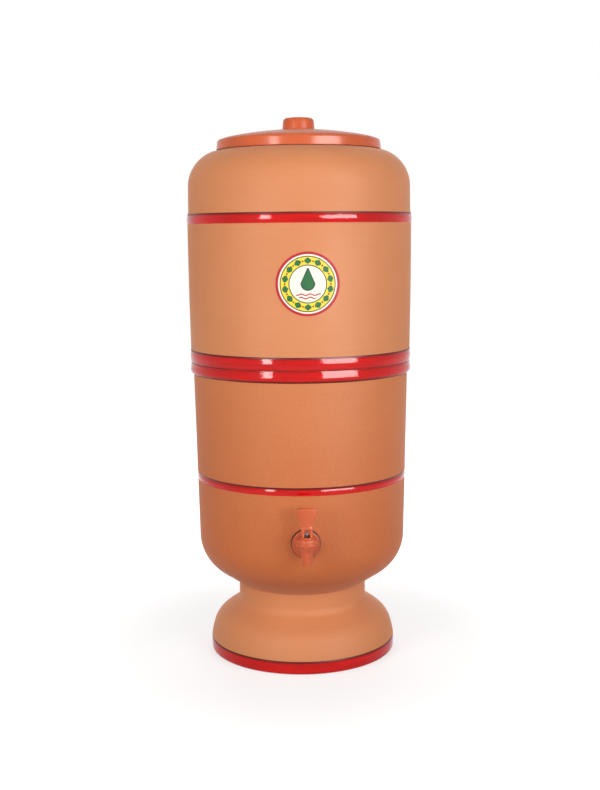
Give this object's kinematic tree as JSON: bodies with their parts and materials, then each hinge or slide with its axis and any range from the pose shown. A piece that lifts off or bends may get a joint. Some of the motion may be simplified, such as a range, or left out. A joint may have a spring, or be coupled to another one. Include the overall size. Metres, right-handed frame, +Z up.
{
  "type": "clay water filter",
  "caption": "Stacked clay water filter pot on a pedestal foot, with red enamelled beads, a domed plastic lid and a small lever tap.",
  "frame": {"origin": "centre of the foot's flat underside, on the axis of the vessels", "axes": "+Z up along the vessels' axis; the tap and the label face -Y; +X is to the right as one faces the tap"},
  "size_m": [0.2418, 0.2717, 0.58],
  "materials": {
    "clay": "unglazed terracotta, burnished smooth, satin",
    "red_enamel": "glossy red enamel over a raised clay bead",
    "label_print": "printed label, smooth",
    "lid_plastic": "glossy terracotta-coloured moulding",
    "tap_plastic": "terracotta-coloured moulding, satin",
    "stem_plastic": "pale moulding",
    "dark_rubber": "matt seal rubber",
    "pale_rubber": "translucent pale seal rubber",
    "candle_ceramic": "porous white ceramic",
    "carbon": "packed activated carbon",
    "white_plastic": "white food-grade moulding",
    "steel": "stainless pin"
  },
  "bodies": {
    "lower_chamber": {"pedestal_foot": "clay", "foot_band": "red_enamel", "lower_vessel": "clay", "waist_band": "red_enamel", "lower_rim_band": "red_enamel", "tap_body": "tap_plastic", "tap_outer_gasket": "dark_rubber", "tap_inner_gasket": "dark_rubber", "tap_back_nut": "tap_plastic", "tap_cap": "tap_plastic", "tap_seat_cup": "pale_rubber"},
    "upper_chamber": {"upper_vessel": "clay", "upper_rim_band": "red_enamel", "shoulder_band": "red_enamel", "front_label": "label_print", "candle_left_base": "white_plastic", "candle_left_shell": "candle_ceramic", "candle_left_carbon": "carbon", "candle_left_upper_gasket": "pale_rubber", "candle_left_lower_gasket": "pale_rubber", "candle_left_wing_nut": "white_plastic", "float_left_guide": "white_plastic", "float_left_stop": "white_plastic", "candle_right_base": "white_plastic", "candle_right_shell": "candle_ceramic", "candle_right_carbon": "carbon", "candle_right_upper_gasket": "pale_rubber", "candle_right_lower_gasket": "pale_rubber", "candle_right_wing_nut": "white_plastic", "float_right_guide": "white_plastic", "float_right_stop": "white_plastic"},
    "lid": {"lid": "lid_plastic"},
    "tap_stem": {"tap_stem": "stem_plastic"},
    "tap_lever": {"tap_lever": "tap_plastic", "tap_lever_pin": "steel"},
    "float_left": {"float_left_cup": "white_plastic", "float_left_disc": "white_plastic", "float_left_pad": "dark_rubber"},
    "float_right": {"float_right_cup": "white_plastic", "float_right_disc": "white_plastic", "float_right_pad": "dark_rubber"}
  },
  "joints": [
    {"name": "upper_vessel_lift", "type": "slide", "parent": "lower_chamber", "child": "upper_chamber", "axis": [0, 0, 1], "range_m": [0, 0.12]},
    {"name": "lid_lift", "type": "slide", "parent": "upper_chamber", "child": "lid", "axis": [0, 0, 1], "range_m": [0, 0.1]},
    {"name": "float_left_rise", "type": "slide", "parent": "upper_chamber", "child": "float_left", "axis": [0, 0, 1], "range_m": [0, 0.008]},
    {"name": "float_right_rise", "type": "slide", "parent": "upper_chamber", "child": "float_right", "axis": [0, 0, 1], "range_m": [0, 0.008]},
    {"name": "tap_stem_lift", "type": "slide", "parent": "lower_chamber", "child": "tap_stem", "axis": [0, 0, 1], "range_m": [0, 0.003], "deforming": ["tap_seat_cup"]},
    {"name": "tap_lever_tilt", "type": "hinge", "parent": "tap_stem", "child": "tap_lever", "pos_m": [0, -0.13976, 0.1618], "axis": [1, 0, 0], "range_deg": [0, 60], "stiffness_Nm_per_rad": 0.05, "springref_deg": -8.59}
  ],
  "couplings": [
    {"joint": "tap_stem_lift", "follows": "tap_lever_tilt", "m_per_rad": 0.0028648}
  ]
}
